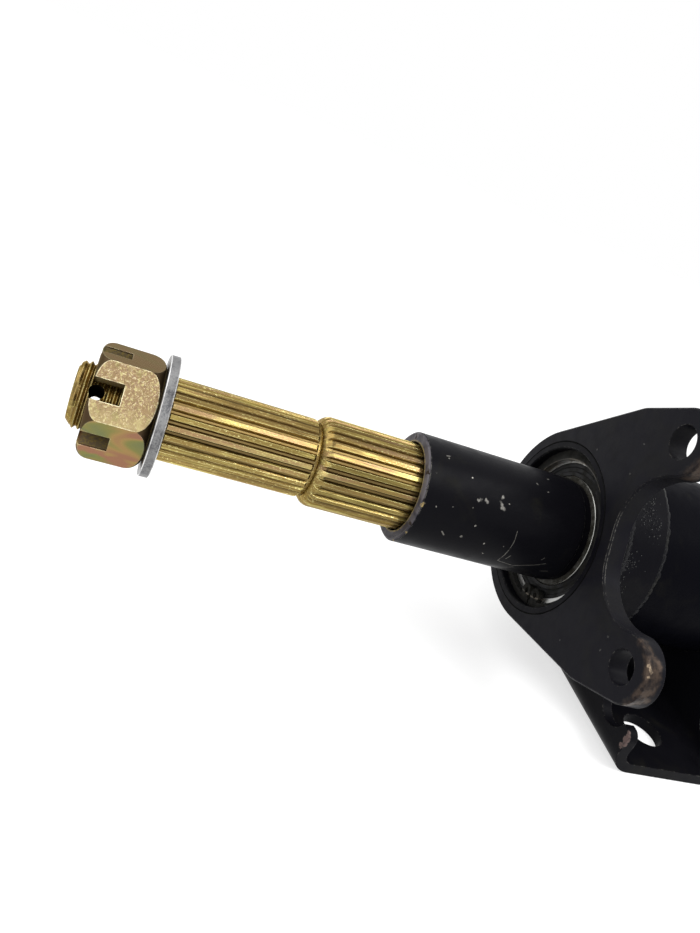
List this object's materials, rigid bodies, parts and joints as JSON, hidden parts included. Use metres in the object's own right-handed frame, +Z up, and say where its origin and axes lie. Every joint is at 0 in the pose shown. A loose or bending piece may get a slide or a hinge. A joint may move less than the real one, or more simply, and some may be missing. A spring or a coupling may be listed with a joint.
{
  "type": "rear axle assembly",
  "caption": "Splined rear axle shaft on ball bearings in a welded carrier, with caliper plate, sleeves, castle nuts and mounting feet.",
  "frame": {"origin": "centre of the four bolt holes, on the underside of the mounting feet", "axes": "+Y along the axle from the brake end to the drive end, +Z up from the feet to the axle, +X to the side of the caliper plate's ears"},
  "size_m": [0.1571, 0.62, 0.1358],
  "materials": {
    "shaft_zinc": "yellow zinc on ground and hobbed steel, worn in the grooves",
    "yellow_zinc": "yellow chromated zinc with a pink and green shimmer",
    "plain_zinc": "dull zinc plate",
    "sleeve_paint": "satin black paint, scuffed at its ends",
    "black_paint": "satin black paint, chipped along its edges",
    "weld_paint": "rippled weld bead under satin black paint",
    "bearing_steel": "ground bearing steel",
    "ball_steel": "polished ball",
    "cage_plastic": "moulded cage",
    "seal_rubber": "moulded seal, dusty",
    "spring_steel": "phosphated spring steel, worn bright"
  },
  "bodies": {
    "carrier": {"carrier_tube": "black_paint", "brake_bearing_collar": "black_paint", "drive_bearing_collar": "black_paint", "caliper_plate": "black_paint", "caliper_weld_bead": "weld_paint", "collar_weld_beads": "weld_paint", "saddle_weld_beads": "weld_paint", "brake_mounting_foot": "black_paint", "brake_bearing_outer_ring": "bearing_steel", "brake_bearing_outer_seal": "seal_rubber", "brake_bearing_inner_seal": "seal_rubber", "brake_circlip": "spring_steel", "drive_mounting_foot": "black_paint", "drive_bearing_outer_ring": "bearing_steel", "drive_bearing_outer_seal": "seal_rubber", "drive_bearing_inner_seal": "seal_rubber", "drive_circlip": "spring_steel"},
    "axle": {"axle_shaft": "shaft_zinc", "bearing_spacer_tube": "plain_zinc", "brake_castle_nut": "yellow_zinc", "brake_hub_washer": "plain_zinc", "brake_spacer_sleeve": "sleeve_paint", "brake_bearing_inner_ring": "bearing_steel", "drive_castle_nut": "yellow_zinc", "drive_hub_washer": "plain_zinc", "drive_spacer_sleeve": "sleeve_paint", "drive_bearing_inner_ring": "bearing_steel"},
    "brake_ball_set": {"brake_bearing_balls": "ball_steel", "brake_ball_cage": "cage_plastic"},
    "drive_ball_set": {"drive_bearing_balls": "ball_steel", "drive_ball_cage": "cage_plastic"}
  },
  "joints": [
    {"name": "axle_spin", "type": "hinge", "parent": "carrier", "child": "axle", "pos_m": [0, 0, 0.06], "axis": [0, 1, 0], "continuous": true},
    {"name": "brake_ball_spin", "type": "hinge", "parent": "carrier", "child": "brake_ball_set", "pos_m": [0, -0.1026, 0.06], "axis": [0, 1, 0], "continuous": true},
    {"name": "drive_ball_spin", "type": "hinge", "parent": "carrier", "child": "drive_ball_set", "pos_m": [0, 0.1026, 0.06], "axis": [0, 1, 0], "continuous": true}
  ],
  "couplings": [
    {"joint": "brake_ball_spin", "follows": "axle_spin", "ratio": 0.4078},
    {"joint": "drive_ball_spin", "follows": "axle_spin", "ratio": 0.4078}
  ]
}
